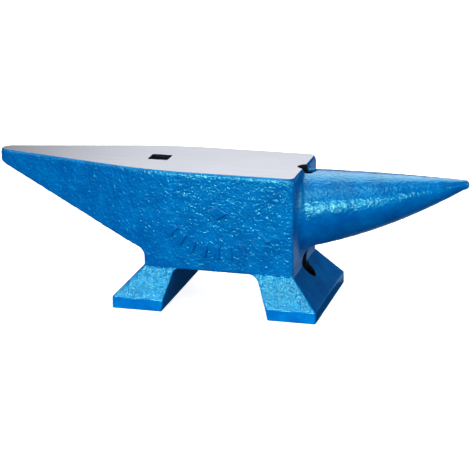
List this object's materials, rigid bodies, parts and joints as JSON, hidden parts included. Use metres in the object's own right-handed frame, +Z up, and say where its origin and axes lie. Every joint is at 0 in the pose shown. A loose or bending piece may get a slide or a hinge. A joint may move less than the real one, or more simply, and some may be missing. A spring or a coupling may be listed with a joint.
{
  "type": "anvil",
  "caption": "Smith's anvil with a ground flat face, square hardy hole, round pritchel hole, tapering round and square horns and flared feet.",
  "frame": {"origin": "on the ground, under the middle of the overall length and of the width", "axes": "+X towards the round horn, +Z up and square to the working face, -Y out of the front with the raised marks"},
  "size_m": [0.368, 0.106, 0.107],
  "materials": {
    "ground_steel": "surface-ground bare steel, fine lines along the anvil",
    "casting_paint": "glossy blue paint over rough sand-cast steel"
  },
  "bodies": {
    "root": {"face_plate": "ground_steel", "body": "casting_paint", "square_horn": "casting_paint", "round_horn": "casting_paint", "left_foot": "casting_paint", "right_foot": "casting_paint", "raised_lozenge": "casting_paint", "raised_bar_1": "casting_paint", "raised_bar_2": "casting_paint", "raised_bar_3": "casting_paint", "raised_bar_4": "casting_paint", "raised_bar_5": "casting_paint", "raised_bar_6": "casting_paint", "raised_bar_7": "casting_paint", "raised_bar_8": "casting_paint", "raised_bar_9": "casting_paint"}
  },
  "joints": []
}
